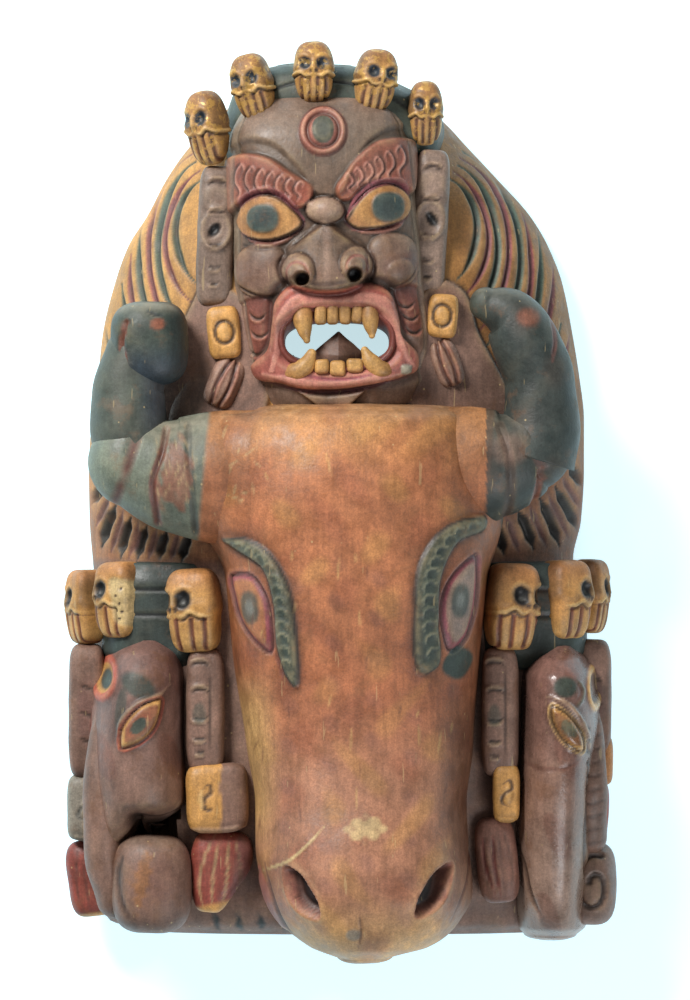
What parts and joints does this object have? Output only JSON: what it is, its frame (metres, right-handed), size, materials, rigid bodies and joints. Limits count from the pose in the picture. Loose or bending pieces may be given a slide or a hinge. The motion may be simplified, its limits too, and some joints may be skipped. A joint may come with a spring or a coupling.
{
  "type": "carved wooden mask",
  "caption": "Carved and painted wooden mask: a wrathful fanged face with a skull crown above a horned bull's head, an elephant's head on each side, hollow behind.",
  "frame": {"origin": "under the middle of the outline, on the plane of the back rim", "axes": "the mask lies on its back: +Z out of its face, +Y to its skull crown, +X to the right side as it is looked at"},
  "size_m": [0.3708, 0.612, 0.1777],
  "materials": {
    "painted_wood": "old matt paint in ochre, orange brown, dark green, brown and red over carved wood, worn and dusty"
  },
  "bodies": {
    "root": {"mask": "painted_wood"}
  },
  "joints": []
}
